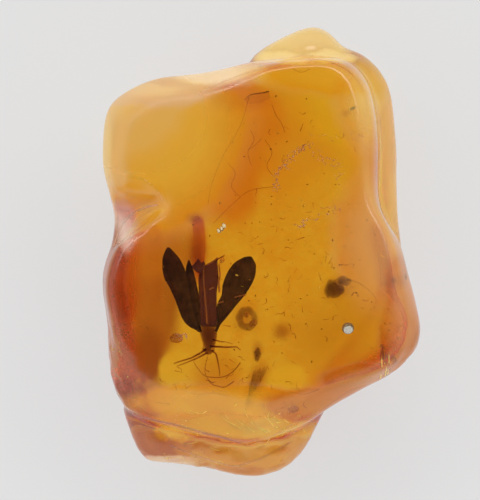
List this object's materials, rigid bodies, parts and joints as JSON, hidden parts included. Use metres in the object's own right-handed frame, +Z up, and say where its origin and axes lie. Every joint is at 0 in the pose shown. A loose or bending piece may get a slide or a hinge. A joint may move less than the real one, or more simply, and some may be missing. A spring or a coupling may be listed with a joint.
{
  "type": "insect in amber",
  "caption": "Polished nugget of clear golden amber with a dark-winged insect and dark crumbs sealed inside, lying on its flat underside.",
  "frame": {"origin": "middle of the bounding box, on the plane that the nugget rests on", "axes": "+Z up, out of the broad polished face; +Y along the length, towards the rear lump; +X across, to the right as one looks down on the face"},
  "size_m": [0.0253, 0.0363, 0.0147],
  "materials": {
    "amber": "hand-polished fossil resin, clear golden with a cloudy honey corner",
    "chitin": "dark brown insect shell and wings, slightly silky",
    "dark_plant_matter": "nearly black carbonised plant grains",
    "brown_plant_matter": "brown shreds of bark and dust",
    "pale_mineral": "pinkish crystalline crumbs"
  },
  "bodies": {
    "root": {"amber_front": "amber", "amber_back": "amber", "insect": "chitin", "dark_pellet": "dark_plant_matter", "dark_grain": "dark_plant_matter", "ring_crumb": "brown_plant_matter", "brown_cone": "brown_plant_matter", "bark_shred": "brown_plant_matter", "grain_column": "brown_plant_matter", "bark_flake": "brown_plant_matter", "pale_crumb": "pale_mineral", "pink_crumb": "pale_mineral"}
  },
  "joints": []
}
